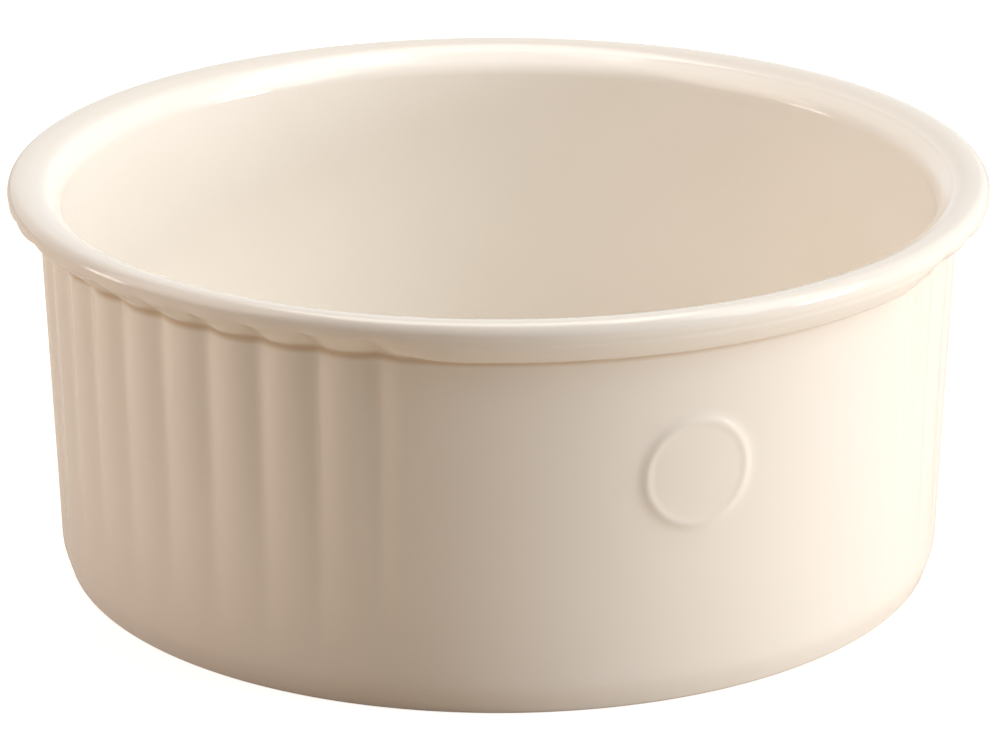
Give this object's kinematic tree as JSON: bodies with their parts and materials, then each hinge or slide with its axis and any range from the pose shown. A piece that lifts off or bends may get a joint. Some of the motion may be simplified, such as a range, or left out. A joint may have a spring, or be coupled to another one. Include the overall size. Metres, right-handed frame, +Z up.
{
  "type": "round baking dish",
  "caption": "Deep round ceramic baking dish with a ribbed wall, a smooth front panel, a rolled-out rim with a scalloped underside and a plain round medallion.",
  "frame": {"origin": "centre of the foot ring's standing plane", "axes": "+Z up along the dish's axis, -Y towards the smooth panel and its medallion, +X to the right of the panel seen from outside"},
  "size_m": [0.224, 0.224, 0.092],
  "materials": {
    "cream_glaze": "glossy cream glaze"
  },
  "bodies": {
    "root": {"dish": "cream_glaze"}
  },
  "joints": []
}
